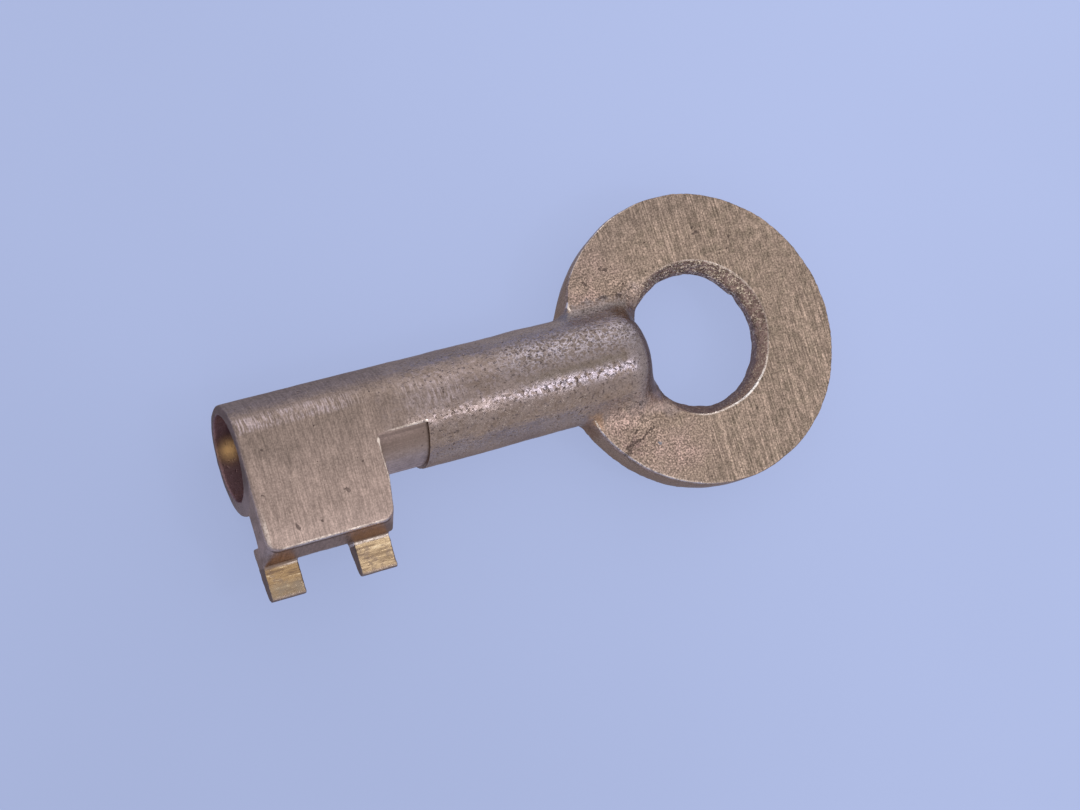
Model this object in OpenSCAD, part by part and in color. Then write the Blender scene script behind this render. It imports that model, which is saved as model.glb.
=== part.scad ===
// Barrel key for a padlock: a drilled barrel, a solid shank, a ring bow and a bit with two teeth.
// +X runs from the barrel's mouth to the bow, the bit points to -Y, +Z leaves the bow's ground face.
// The origin is the centre of the drilled bore at the barrel's mouth. Millimetres.

/* [Barrel] */
// Outside diameter of barrel, shank and nose
barrel_d = 9.52; // [9:0.02:12]
// Diameter of the drilled bore
bore_d = 7.4; // [5:0.1:7.8]
// Depth of the bore's straight wall
bore_depth = 20; // [17:0.5:22]
// Angle of the drill's point
drill_angle = 118; // [90:1:135]
// How far the drill ran off the barrel's centre towards +Y
bore_off_y = 0.3; // [0:0.05:0.4]
// How far the drill ran off the barrel's centre towards -Z
bore_off_z = 0.4; // [0:0.05:0.4]
// Solid metal between the drill's point and the shank
barrel_floor = 1.2; // [0.5:0.1:2]
// Width of the worn edge round the barrel's mouth
mouth_edge = 0.12; // [0.05:0.01:0.3]

/* [Relief behind the bit] */
// Length of the milled relief along the barrel
relief_len = 4.3; // [2:0.1:5]
// Depth of the relief
relief_depth = 0.27; // [0.1:0.01:0.35]
// Angle from the top of the barrel to the relief's upper edge
relief_start = 17.5; // [5:0.5:40]
// Angle from the top of the barrel to the relief's lower edge
relief_end = 130; // [110:1:150]

/* [Bit] */
// Length of the bit along the barrel, beside the barrel
bit_len = 11.55; // [9:0.05:13]
// How much shorter the ground face is at its outer end
face_taper = 0.4; // [0:0.05:0.8]
// How much shorter the bit's wall is at its outer end
wall_taper = 0.1; // [0:0.05:0.8]
// Height of the bit's ground face above the barrel's axis
face_z = 4.3; // [3.9:0.05:4.4]
// Reach of the ground face from the barrel's axis
face_reach = 8.3; // [7.5:0.05:8.6]
// Reach of the bit's wall that carries the teeth, from the barrel's axis
bit_reach = 9.1; // [8.8:0.05:10]
// Thickness of the plate over the groove
plate_t = 3.15; // [2.4:0.05:3.3]
// Distance from the barrel's axis to the rail's inner wall
rail_inner = 7.5; // [6.5:0.05:8]
// Depth of the rail and teeth below the barrel's axis
rail_drop = 0.85; // [0.5:0.05:1.5]
// Radius of the ground face's outer corners
face_corner_r = 1.2; // [0.6:0.1:2]
// Radius of the outer corners where the wall meets the rail
wall_corner_r = 0.3; // [0.1:0.05:1]
// Width of the bevel along the ground face's front edge
face_bevel = 0.3; // [0.1:0.05:0.5]
// Width of the bevel along the ground face's other edges
side_bevel = 0.1; // [0.05:0.05:0.3]
// Radius in the groove's corner and along the rail
rail_edge_r = 0.25; // [0.1:0.05:0.4]
// Radius of the grinding wheel's run-out behind the bit
wheel_r = 8; // [4:1:30]

/* [Teeth] */
// Reach of the teeth from the barrel's axis
tooth_reach = 12.1; // [11:0.05:14]
// Height of the teeth's filed face above the barrel's axis
tooth_z = 0.9; // [0.4:0.05:1.1]
// Width of the front tooth
front_tooth_w = 3.0; // [2:0.05:3.4]
// Width of the rear tooth
rear_tooth_w = 3.2; // [2:0.05:3.4]
// How far the rear tooth's side stands in from the bit's rear end
rear_tooth_inset = 0.5; // [0.2:0.05:0.9]
// Radius at the teeth's root
tooth_root_r = 0.3; // [0.1:0.05:0.4]
// Radius on the underside of the teeth's tips
tooth_tip_r = 0.8; // [0.3:0.05:0.9]
// Width of the dulled edge at the end of the filed faces
tooth_edge = 0.15; // [0.05:0.05:0.3]
// Height the teeth's underside gains towards the tips
tip_rise = 0.4; // [0:0.05:0.5]

/* [Bow] */
// Distance from the barrel's mouth to the bow's centre
bow_x = 43.85; // [42:0.05:50]
// Outside diameter of the bow's faces
bow_d = 26.5; // [24:0.1:28]
// Thickness of the bow
bow_t = 3.0; // [2.6:0.1:4.2]
// Crown of the bow's rim at mid-thickness
rim_crown = 0.08; // [0.05:0.01:0.3]
// Diameter of the hole at the bow's faces
hole_d = 14.1; // [13:0.1:15]
// How far the hole's wall narrows to its waist
hole_crown = 0.97; // [0.3:0.01:1.2]
// How much steeper than a straight slope the wall leaves the faces
wall_lean = 1.2; // [1.1:0.05:1.9]
// How far the nose stands past the hole's waist
nose_past = 0.3; // [0.1:0.05:0.8]
// Radius round the nose's end
nose_r = 2.6; // [1:0.1:3.5]
// Radius of the blend between the barrel and the bow's faces
face_fillet_r = 1.2; // [0.4:0.1:2]
// Radius of the blend between the barrel's sides and the bow's rim
side_fillet_r = 0.8; // [0.3:0.1:1.5]
// Length of plain neck that belongs to the bow
neck_len = 1.2; // [0.8:0.1:2]

/* [Hidden] */
$fn = 96;
brass = [0.60, 0.50, 0.40];
filed_brass = [0.74, 0.58, 0.34];
over = 1;
slab = 0.02;
rim_margin = 0.1;
barrel_r = barrel_d / 2;
bore_r = bore_d / 2;
drill_point = bore_r / tan(drill_angle / 2);
barrel_len = bore_depth + drill_point + barrel_floor;
plate_z = face_z - plate_t;
relief_r = barrel_r - relief_depth;
bow_r = bow_d / 2;
hole_r = hole_d / 2;
half_t = bow_t / 2;
rim_x = bow_x - sqrt(bow_r * bow_r - barrel_r * barrel_r);
neck_x = rim_x - neck_len;
nose_x = bow_x - hole_r + hole_crown + nose_past;
rear_tooth_x = bit_len - rear_tooth_inset - rear_tooth_w;

// Points on an arc of n steps about a centre, from angle a to angle b
function arc(centre, r, a, b, n = 8) =
    [for (i = [0 : n]) centre + r * [cos(a + (b - a) * i / n), sin(a + (b - a) * i / n)]];

// Radius of a circle that bulges by rise over a chord of the given half length
function bulge_r(half, rise) = (half * half + rise * rise) / (2 * rise);

// Puts the barrel's axis where the drill left it beside the bore
module on_barrel_axis() {
    translate([0, -bore_off_y, bore_off_z]) children();
}

// Turns a profile drawn as (distance along X, radius) round the barrel's axis
module turned(profile) {
    rotate([0, 90, 0])
        rotate_extrude() polygon([for (p = profile) [p[1], p[0]]]);
}

// Extrudes a profile drawn as (Y, Z) from one X to another
module along_x(profile, x0, x1) {
    translate([x0, 0, 0])
        rotate([90, 0, 90])
            linear_extrude(x1 - x0) polygon(profile);
}

// Space above the bit's ground face, ending in the wheel's run-out over the barrel
module ground_away() {
    height = barrel_r - face_z + over;
    translate([-over, -bit_reach - over, face_z])
        cube([bit_len + over, bit_reach + barrel_r + 2 * over, height]);
    intersection() {
        translate([bit_len, barrel_r + over, face_z + wheel_r])
            rotate([90, 0, 0]) cylinder(h = bit_reach + barrel_r + 2 * over, r = wheel_r);
        translate([bit_len - 0.01, -barrel_r, face_z])
            cube([wheel_r, 2 * barrel_r, height]);
    }
}

// Bevel along the front edge of the ground face
module front_bevel() {
    translate([0, barrel_r, 0])
        rotate([90, 0, 0])
            linear_extrude(barrel_r + bit_reach + over)
                polygon([[-over, face_z - face_bevel - over], [face_bevel + over, face_z + over],
                    [-over, face_z + over]]);
}

// Worn outer edge of the barrel's mouth
module mouth_wear() {
    rotate([0, 90, 0])
        rotate_extrude()
            polygon([[barrel_r - mouth_edge, 0], [barrel_r - mouth_edge, -over],
                [barrel_r + over, -over], [barrel_r + over, mouth_edge], [barrel_r, mouth_edge]]);
}

// Shallow cut round the barrel's bit side, just behind the bit
module relief() {
    rotate([relief_start, 0, 0])
        translate([bit_len, 0, 0])
            rotate([0, 90, 0])
                rotate([0, 0, 180])
                    rotate_extrude(angle = relief_end - relief_start)
                        translate([relief_r, 0]) square([relief_depth + over, relief_len]);
}

module barrel() {
    color(brass)
    difference() {
        on_barrel_axis()
            difference() {
                rotate([0, 90, 0]) cylinder(h = barrel_len, r = barrel_r);
                ground_away();
                front_bevel();
                mouth_wear();
                relief();
            }
        rotate([0, 90, 0]) translate([0, 0, -over]) cylinder(h = bore_depth + over, r = bore_r);
        translate([bore_depth, 0, 0])
            rotate([0, 90, 0]) cylinder(h = drill_point, r1 = bore_r, r2 = 0);
    }
}

module shank() {
    color(brass)
    on_barrel_axis()
        translate([barrel_len, 0, 0])
            rotate([0, 90, 0]) cylinder(h = neck_x - barrel_len, r = barrel_r);
}

// Outline of the bit from above, between its front and rear ends, with its outer corners rounded
// and its rear end leaning in by taper beyond the barrel
function bit_outline(front, rear, reach, corner_r, taper) =
    concat(
        [[front, 0]],
        arc([front + corner_r, -reach + corner_r], corner_r, 180, 270),
        arc([rear - taper - corner_r, -reach + corner_r], corner_r, 270, 360),
        [[rear, -barrel_r], [rear, 0]]);

// One thin level of the plate, whose top lies at height z
module plate_level(z, front, rear, reach, corner_r, taper) {
    translate([0, 0, z - slab])
        linear_extrude(slab) polygon(bit_outline(front, rear, reach, corner_r, taper));
}

// Plate of the bit: its walls lean out below the bevelled face
module plate() {
    bevel_z = face_z - face_bevel;
    hull() {
        plate_level(face_z, face_bevel, bit_len - side_bevel, face_reach, face_corner_r, face_taper);
        plate_level(bevel_z, 0, bit_len, face_reach + side_bevel, face_corner_r, face_taper);
    }
    hull() {
        plate_level(bevel_z, 0, bit_len, face_reach + side_bevel, face_corner_r, face_taper);
        plate_level(tooth_z + tooth_root_r, 0, bit_len, bit_reach, wall_corner_r, wall_taper);
    }
}

// Section of the bit below the plate's face: wall, rail and the groove beside the barrel
function rail_section() = concat(
    [[0, tooth_z + tooth_root_r]],
    [[-bit_reach, tooth_z + tooth_root_r]],
    arc([-bit_reach + rail_edge_r, -rail_drop + rail_edge_r], rail_edge_r, 180, 270),
    arc([-rail_inner - rail_edge_r, -rail_drop + rail_edge_r], rail_edge_r, 270, 360),
    arc([-rail_inner + rail_edge_r, plate_z - rail_edge_r], rail_edge_r, 180, 90),
    [[0, plate_z]]);

module bit() {
    color(brass)
    on_barrel_axis()
        difference() {
            union() {
                plate();
                intersection() {
                    along_x(rail_section(), 0, bit_len);
                    translate([0, 0, -rail_drop - over])
                        linear_extrude(face_z + rail_drop)
                            polygon(bit_outline(0, bit_len, bit_reach, slab, wall_taper));
                }
            }
            translate([-over, 0, 0])
                rotate([0, 90, 0]) cylinder(h = bit_len + 2 * over, r = barrel_r);
        }
}

// Section of a tooth: filed face on top, root radius at the wall, tip rounded underneath
function tooth_section() =
    let(low = -rail_drop + tip_rise)
    concat(
        arc([-bit_reach - tooth_root_r, tooth_z + tooth_root_r], tooth_root_r, 0, -90),
        [[-tooth_reach + tooth_edge, tooth_z]],
        [[-tooth_reach, tooth_z - tooth_edge]],
        arc([-tooth_reach + tooth_tip_r, low + tooth_tip_r], tooth_tip_r, 180, 260),
        [[-bit_reach - (tooth_reach - bit_reach) / 3, -rail_drop]],
        [[-bit_reach, -rail_drop]]);

module tooth(x, width) {
    color(filed_brass)
    on_barrel_axis() along_x(tooth_section(), x, x + width);
}

module front_tooth() {
    tooth(0, front_tooth_w);
}

module rear_tooth() {
    tooth(rear_tooth_x, rear_tooth_w);
}

// Half section of the ring: crowned rim outside, sloping walls that meet in a round waist in the hole
function ring_section() =
    let(rim_r = bulge_r(half_t, rim_crown),
        rim_a = asin(half_t / rim_r),
        slope = wall_lean * atan(hole_crown / half_t),
        waist_r = (half_t * sin(slope) - hole_crown * cos(slope)) / (1 - cos(slope)))
    concat(
        arc([bow_r + rim_crown - rim_r, 0], rim_r, -rim_a, rim_a, 6),
        [[hole_r, half_t]],
        arc([hole_r - hole_crown + waist_r, 0], waist_r, 180 - slope, 180 + slope, 12),
        [[hole_r, -half_t]]);

// Barrel's end inside the bow, rounded like a nose
function nose_section() = concat(
    [[neck_x, 0]],
    [[neck_x, barrel_r]],
    arc([nose_x - nose_r, barrel_r - nose_r], nose_r, 90, 0, 12),
    [[nose_x, 0]]);

// Blend between one flank of the nose and one face of the bow, as a bar along X
module face_fillet() {
    centre_z = half_t + face_fillet_r;
    centre_y = sqrt(pow(barrel_r + face_fillet_r, 2) - centre_z * centre_z);
    touch = barrel_r / (barrel_r + face_fillet_r);
    translate([neck_x, 0, 0])
        rotate([90, 0, 90])
            linear_extrude(nose_x - nose_r - neck_x)
                difference() {
                    polygon([[centre_y * touch, 0], [centre_y, 0], [centre_y, half_t],
                        [centre_y * touch, centre_z * touch]]);
                    translate([centre_y, centre_z]) circle(face_fillet_r);
                }
}

// Blend between one side of the barrel and the bow's rim
module side_fillet() {
    seat_r = bow_r - rim_margin;
    reach = seat_r + side_fillet_r;
    centre_y = barrel_r + side_fillet_r;
    centre_x = bow_x - sqrt(reach * reach - centre_y * centre_y);
    touch = seat_r / reach;
    linear_extrude(half_t)
        difference() {
            polygon([[centre_x, barrel_r - over], [centre_x, barrel_r],
                [bow_x + (centre_x - bow_x) * touch, centre_y * touch], [bow_x, barrel_r - over]]);
            translate([centre_x, centre_y]) circle(side_fillet_r);
            translate([bow_x, 0]) circle(bow_r - over);
        }
}

// The blends of one quarter, held between the rim and the hole
module quarter_blends() {
    intersection() {
        face_fillet();
        translate([bow_x, 0, 0])
            rotate_extrude() translate([hole_r, 0]) square([bow_r - rim_margin - hole_r, barrel_r]);
    }
    side_fillet();
}

module bow() {
    color(brass)
    on_barrel_axis() {
        translate([bow_x, 0, 0]) rotate_extrude() polygon(ring_section());
        turned(nose_section());
        for (y_side = [0, 1], z_side = [0, 1])
            mirror([0, y_side, 0]) mirror([0, 0, z_side]) quarter_blends();
    }
}

bow();
shank();
barrel();
bit();
front_tooth();
rear_tooth();
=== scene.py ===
# A cast brass key: its six parts are fused, given one worn skin, and cut apart again where they meet
import bpy
import math
import numpy as np
from types import SimpleNamespace
from mathutils import Matrix, Vector
from mathutils.kdtree import KDTree


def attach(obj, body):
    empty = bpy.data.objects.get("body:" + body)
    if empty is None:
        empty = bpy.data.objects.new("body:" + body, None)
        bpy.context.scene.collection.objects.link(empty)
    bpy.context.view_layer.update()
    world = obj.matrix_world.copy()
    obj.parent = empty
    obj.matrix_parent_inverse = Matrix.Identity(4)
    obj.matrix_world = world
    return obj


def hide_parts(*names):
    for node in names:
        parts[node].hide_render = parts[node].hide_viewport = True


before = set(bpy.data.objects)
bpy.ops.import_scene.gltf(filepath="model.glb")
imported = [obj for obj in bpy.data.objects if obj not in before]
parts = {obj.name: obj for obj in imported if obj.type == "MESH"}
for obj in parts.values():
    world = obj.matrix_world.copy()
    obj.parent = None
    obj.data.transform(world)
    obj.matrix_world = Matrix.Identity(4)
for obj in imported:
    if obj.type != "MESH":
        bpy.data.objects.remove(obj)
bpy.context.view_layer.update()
print("frame loaded:", sorted(parts))

mm = 0.001
axisY, axisZ = -0.3, 0.4  # the barrel's axis beside the bore's, in mm

# Sizes of the solids, in mm, as the part's source has them
key = {
    "barrelR": 4.76,
    "bitLength": 11.55,
    "faceReach": 8.3,
    "bitReach": 9.1,
    "reliefEnd": 15.85,
    "bowX": 43.85,
    "bowR": 13.25,
    "bowHalf": 1.5,
    "holeR": 7.05,
    "waistDepth": 0.97,
    "wallSlope": 39.5,  # degrees between the hole's wall and upright
    "noseX": 38.07,
    "noseR": 2.6,
    "shankX": 23.42,
    "neckX": 30.28,
}


# Hand tools
def pick(piece):
    bpy.ops.object.select_all(action="DESELECT")
    piece.select_set(True)
    bpy.context.view_layer.objects.active = piece


def editAll(piece):
    pick(piece)
    bpy.ops.object.mode_set(mode="EDIT")
    bpy.ops.mesh.select_all(action="SELECT")


def settle(piece, turned=False):
    pick(piece)
    bpy.ops.object.transform_apply(location=True, rotation=turned, scale=True)
    return piece


def applyModifiers(piece):
    pick(piece)
    for modifier in list(piece.modifiers):
        bpy.ops.object.modifier_apply(modifier=modifier.name)


def copyOf(piece, name):
    twin = bpy.data.objects.new(name, piece.data.copy())
    bpy.context.scene.collection.objects.link(twin)
    return twin


def throwAway(piece):
    bpy.data.objects.remove(piece)


def boolean(piece, tool, operation):
    modifier = piece.modifiers.new(operation.lower(), "BOOLEAN")
    modifier.operation = operation
    modifier.solver = "MANIFOLD"
    modifier.object = tool
    applyModifiers(piece)
    throwAway(tool)


def cutAway(piece, point, normal):
    # removes what lies on the normal's side of the plane and closes the cut
    editAll(piece)
    bpy.ops.mesh.bisect(plane_co=point, plane_no=normal, use_fill=True, clear_outer=True)
    bpy.ops.object.mode_set(mode="OBJECT")


def block(low, high):
    # a box between two corners given beside the barrel's axis
    x, y, z = [(a + b) / 2 for a, b in zip(low, high)]
    size = [b - a for a, b in zip(low, high)]
    bpy.ops.mesh.primitive_cube_add(size=1, location=(x, y + axisY, z + axisZ), scale=size)
    return settle(bpy.context.object)


def rod(radius, low, high, sides=256):
    # a rod along the barrel's axis
    middle = ((low + high) / 2, axisY, axisZ)
    bpy.ops.mesh.primitive_cylinder_add(vertices=sides, radius=radius, depth=high - low,
                                        location=middle, rotation=(0, math.pi / 2, 0))
    return settle(bpy.context.object, turned=True)


def pointsOf(piece):
    flat = np.empty(len(piece.data.vertices) * 3)
    piece.data.vertices.foreach_get("co", flat)
    return flat.reshape(-1, 3)


def normalsOf(piece):
    flat = np.empty(len(piece.data.vertices) * 3)
    piece.data.vertex_normals.foreach_get("vector", flat)
    return flat.reshape(-1, 3)


paintSteps = 40  # shades that a weight is painted in


def paintGroup(piece, name, weights):
    group = piece.vertex_groups.new(name=name)
    levels = np.round(np.clip(weights, 0, 1) * paintSteps).astype(int)
    for level in range(1, paintSteps + 1):
        chosen = np.flatnonzero(levels == level)
        if len(chosen):
            group.add(chosen.tolist(), level / paintSteps, "REPLACE")


def step(value, low, high):
    # smooth rise from 0 at low to 1 at high
    t = np.clip((value - low) / (high - low), 0, 1)
    return t * t * (3 - 2 * t)


# The fused casting, in mm
fusing = {
    "weldPoint": 0.0005,  # merges the solids' loose triangles
    "barLow": (0.3, -6.2, 1.7),  # a bar inside the metal closes the hairline between facets
    "barHigh": (11.3, -3.2, 3.5),
}


def fuseParts():
    casting = None
    for name in ("barrel", "shank", "bow", "bit", "front_tooth", "rear_tooth"):
        part = copyOf(parts[name], name + "Copy")
        part.data.transform(Matrix.Scale(1 / mm, 4))
        editAll(part)
        bpy.ops.mesh.remove_doubles(threshold=fusing["weldPoint"])
        bpy.ops.object.mode_set(mode="OBJECT")
        if casting is None:
            casting = part
            casting.name = "casting"
        else:
            boolean(casting, part, "UNION")
    boolean(casting, block(fusing["barLow"], fusing["barHigh"]), "UNION")
    return casting


print("fusing the parts")
casting = fuseParts()


# The skin's fineness and how round wear has made its edges
skin = {
    "bodyVoxel": 0.126,  # mm, barrel, shank and bow
    "bitVoxel": 0.07,  # mm, bit and teeth
    "bodyRounds": 1,  # smoothing passes
    "bitRounds": 2,
    "cornerRounds": 8,  # more passes where the hole's edge runs into the nose
    "nickLevel": 0.7,  # shade of the pattern above which nothing is dented
    "bendPasses": 2,
    "dented": (0.3, 0.9),  # bends between which an edge counts as worn, more and more
    "wornLayer": (0.22, 0.7),
    "sunkLayer": (0.15, 0.6),
    "cornerAway": (0.4, 1.0),  # mm from the hole's edge
    "cornerFrom": (34, 36),  # mm along the barrel, fading in and out
    "cornerTo": (38.6, 40.4),
    "wallBelow": (0.05, 0.25),  # mm inside the hole's edge
    "wallFrom": (34, 35),
}


def axisFrame(points):
    return points[:, 0], points[:, 1] - axisY, points[:, 2] - axisZ


# How the barrel's end and the ring flow into each other, in mm and degrees round the ring
blend = {
    "neckReach": (0.6, 1.6),  # how far the blend spreads at the rim, at its back and at its face
    "neckHeight": (-0.2, 1.2),
    "reach": 1.6,  # the same beside the nose
    "neckEnd": (31.2, 34.0),
    "lowerReach": 0.9,  # added on the lower side, where the photo shows a wide soft blend
    "lowerSide": (1.0, 3.5),
    "lowerFrom": (34.0, 36.5),
    "edgeReach": 1.9,  # rounding of the hole's edge next to the nose
    "edgeRound": 0.04,  # and elsewhere
    "edgeTo": (38.4, 41.0),
    "edgeRing": (8.4, 9.2),
    "start": 29.0,
    "rounds": 6,
    "probe": 0.01,
    "flattest": 0.05,  # keeps a move short where the field hardly changes
    "stride": 0.3,
    "ripple": 0.07,  # unevenness round the hole
    "ripples": ((5, 1, 0.4), (11, 0, 0.35), (23, 2, 0.25)),  # waves round it, their start and share
    "rippleDepth": (0.6, 1.4),
    "notchAt": 31.0,
    "notchDepth": 0.16,
    "notchRise": 0.16,  # radians on its two sides
    "notchFall": 0.03,
    "rimCrown": 0.08,
    "rimLean": 0.38,  # how far the rim leans in towards the back, on the upper left
    "rimLeanFrom": (104, 122),
    "rimLeanTo": (150, 172),
    "faceLean": 0.6,  # how far the face's edge is worn in beside the neck, above it
    "faceLeanFrom": (141, 158),
    "faceLeanTo": (180, 181),
    "edgeLean": 0.28,  # how far the hole's edge stands in on the far side, at its face
    "edgeLeanFrom": (-108, -78),
    "edgeLeanTo": (-20, 15),
    "edgeLeanHeight": (0.2, 1.3),
    "waistLean": 0.20,  # the same at its waist
    "waistLeanFrom": (-90, -55),
    "waistLeanTo": (40, 58),
}


def roundRing(x, y):
    # distance from the ring's middle, and the angle round it
    return np.hypot(x - key["bowX"], y), np.arctan2(y, x - key["bowX"])


def leanOf(angle, which):
    turned = np.degrees(angle)
    rise = step(turned, *blend[which + "From"])
    return blend[which] * rise * (1 - step(turned, *blend[which + "To"]))


def noseField(x, y, z):
    # distance outside the barrel and its rounded end
    alongX = x - (key["noseX"] - key["noseR"])
    across = np.hypot(y, z) - (key["barrelR"] - key["noseR"])
    outside = np.hypot(np.maximum(alongX, 0), np.maximum(across, 0))
    return outside + np.minimum(np.maximum(alongX, across), 0) - key["noseR"]


def holeRough(angle, z):
    # how far the hole's wall is eaten out, round the hole and down its depth
    turn = math.radians(blend["notchAt"])
    waves = sum(np.sin(count * angle + start) * share for count, start, share in blend["ripples"])
    uneven = blend["ripple"] * waves
    rise = step(angle, turn - blend["notchRise"], turn)
    notch = blend["notchDepth"] * rise * (1 - step(angle, turn, turn + blend["notchFall"]))
    deep = 1 - step(np.abs(z), *blend["rippleDepth"])
    edge = leanOf(angle, "edgeLean") * step(z, *blend["edgeLeanHeight"])
    return (uneven + notch) * deep - edge - leanOf(angle, "waistLean") * deep


def ringField(x, y, z):
    # distance outside the ring: faces, rim, sloping wall and its round waist
    ringRadius, angle = roundRing(x, y)
    out = ringRadius - holeRough(angle, z)
    slope = math.radians(key["wallSlope"])
    sine, cosine = math.sin(slope), math.cos(slope)
    waistR = (key["bowHalf"] * sine - key["waistDepth"] * cosine) / (1 - cosine)
    centre = key["holeR"] - key["waistDepth"] + waistR
    farInside = -9
    waist = np.where(out < centre - waistR * cosine, np.hypot(out - centre, z) - waistR, farInside)
    wall = (key["holeR"] - out) * cosine + (np.abs(z) - key["bowHalf"]) * sine
    face = np.abs(z) - key["bowHalf"]
    rise = np.clip(0.5 + z / (2 * key["bowHalf"]), 0, 1)
    lean = leanOf(angle, "rimLean") * (1 - rise) + leanOf(angle, "faceLean") * rise
    crown = blend["rimCrown"] * (1 - (z / key["bowHalf"]) ** 2)
    rim = ringRadius - key["bowR"] + lean - crown
    besideNose = (1 - step(x, *blend["edgeTo"])) * (1 - step(out, *blend["edgeRing"]))
    rounding = blend["edgeRound"] + blend["edgeReach"] * besideNose
    share = np.clip(0.5 + 0.5 * (face - wall) / rounding, 0, 1)
    face = wall * (1 - share) + face * share + rounding * share * (1 - share)
    return np.maximum(np.maximum(face, rim), waist)


def bowField(points):
    x, y, z = points.T
    back, front = blend["neckReach"]
    neckReach = back + (front - back) * step(z, *blend["neckHeight"])
    reach = neckReach + (blend["reach"] - neckReach) * step(x, *blend["neckEnd"])
    reach = reach + blend["lowerReach"] * step(-y, *blend["lowerSide"]) * step(x, *blend["lowerFrom"])
    nose, ring = noseField(x, y, z), ringField(x, y, z)
    share = np.clip(0.5 + 0.5 * (ring - nose) / reach, 0, 1)
    return ring * (1 - share) + nose * share - reach * share * (1 - share)


def flowBow(piece):
    # moves the skin behind the neck onto the blended surface
    points = pointsOf(piece)
    chosen = points[:, 0] > blend["start"]
    moving = points[chosen] - (0, axisY, axisZ)
    steps = blend["probe"] * np.eye(3)
    for _ in range(blend["rounds"]):
        value = bowField(moving)
        slope = np.stack([(bowField(moving + side) - bowField(moving - side)) / (2 * blend["probe"])
                          for side in steps], axis=1)
        length = np.maximum((slope ** 2).sum(axis=1), blend["flattest"])
        move = np.clip(value / length, -blend["stride"], blend["stride"])
        moving = moving - slope * move[:, None]
    points[chosen] = moving + (0, axisY, axisZ)
    piece.data.vertices.foreach_set("co", points.ravel())
    piece.data.update()


# Where each kind of surface is: the two ends of each fade, in mm or as the share that faces up
regions = {
    "nose": (-0.25, 0.45),  # how much nearer the nose's surface is than the ring's
    "neckFade": 0.6,
    "bowUp": (0.80, 0.95),
    "bowBottom": (1.2, 1.4),
    "bowTop": (1.6, 2.0),
    "bitFaceZ": (3.9, 4.25),
    "bitFaceUp": (0.8, 0.95),
    "bitFaceEnd": (11.6, 12.2),
    "bitFaceSide": (2.2, 3.0),
    "topZ": (-0.5, 1.5),
    "topEnd": (12.5, 17.5),
    "topShare": 0.75,
    "boreInward": (0.4, 0.8),
    "boreOut": (3.78, 3.9),
    "boreEnd": (22.4, 22.8),
    "filedReach": (9.3, 9.5),
    "filedUp": (0.7, 0.92),
    "tipReach": (11.45, 12.0),
    "teethEnd": (12, 13),
    "sideOut": (4.3, 4.6),
    "sideUp": (0.35, 0.88),
}


def rising(value, name):
    return step(value, *regions[name])


def falling(value, name):
    return 1 - step(value, *regions[name])


def regionsOf(points, normals):
    x, y, z = axisFrame(points)
    up = normals[:, 2]
    boreOut = np.hypot(points[:, 1], points[:, 2])
    inward = -(points[:, 1] * normals[:, 1] + points[:, 2] * normals[:, 2]) / np.maximum(boreOut, 0.01)
    nose = rising(ringField(x, y, z) - noseField(x, y, z), "nose")
    inBow = step(x, key["neckX"] - regions["neckFade"], key["neckX"] + regions["neckFade"])
    flatUp = inBow * rising(np.abs(up), "bowUp")
    bowFace = flatUp * rising(np.abs(z), "bowBottom") * falling(np.abs(z), "bowTop")
    bitTop = rising(z, "bitFaceZ") * rising(up, "bitFaceUp")
    bitFace = bitTop * falling(x, "bitFaceEnd") * falling(y, "bitFaceSide")
    topGround = rising(z, "topZ") * falling(x, "topEnd") * (1 - inBow)
    return {
        "ground": np.clip(bitFace + regions["topShare"] * topGround, 0, 1),
        "bowFace": bowFace * (1 - nose),
        "nose": nose * inBow,
        "bore": rising(inward, "boreInward") * falling(boreOut, "boreOut") * falling(x, "boreEnd"),
        "filed": rising(-y, "filedReach") * rising(up, "filedUp") * falling(x, "teethEnd"),
        "toothTip": rising(-y, "tipReach") * falling(x, "teethEnd"),
        "side": rising(np.hypot(y, z), "sideOut") * falling(up, "sideUp"),
    }


# Relief of the skin, in mm: the size, detail and height of each pattern, and where it is painted
patterns = {
    "wave": (3.0, 1, 0.11, "cast"),
    "peel": (0.50, 2, 0.022, "cast"),
    "pitch": (1.1, 2, 0.03, "cast"),
    "wall": (0.30, 2, 0.07, "wall"),
    "nick": (0.45, 1, 0.10, "worn"),  # dents along worn edges
}


def displace(piece, name):
    size, detail, height, group = patterns[name]
    texture = bpy.data.textures.new(name, "CLOUDS")
    texture.noise_scale = size
    texture.noise_depth = detail
    modifier = piece.modifiers.new(name, "DISPLACE")
    modifier.texture = texture
    modifier.texture_coords = "LOCAL"
    modifier.strength = height
    modifier.mid_level = skin["nickLevel"] if name == "nick" else 0.5
    modifier.vertex_group = group


def bendOf(piece, rounds):
    # how sharply the skin bends out or in at each point
    points, normals = pointsOf(piece), normalsOf(piece)
    edges = np.empty(len(piece.data.edges) * 2, np.int32)
    piece.data.edges.foreach_get("vertices", edges)
    a, b = edges.reshape(-1, 2).T
    count = np.bincount(a, minlength=len(points)) + np.bincount(b, minlength=len(points))
    count = np.maximum(count, 1)
    mean = np.zeros_like(points)
    for axis in range(3):
        mean[:, axis] = (np.bincount(a, points[b, axis], len(points))
                         + np.bincount(b, points[a, axis], len(points))) / count
    bend = -np.einsum("ij,ij->i", mean - points, normals)
    for _ in range(rounds):
        bend = 0.5 * bend + 0.5 * (np.bincount(a, bend[b], len(points))
                                   + np.bincount(b, bend[a], len(points))) / count
    return bend


def smooth(piece, rounds, group=""):
    modifier = piece.modifiers.new("worn", "SMOOTH")
    modifier.factor = 0.5
    modifier.iterations = rounds
    modifier.vertex_group = group


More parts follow.
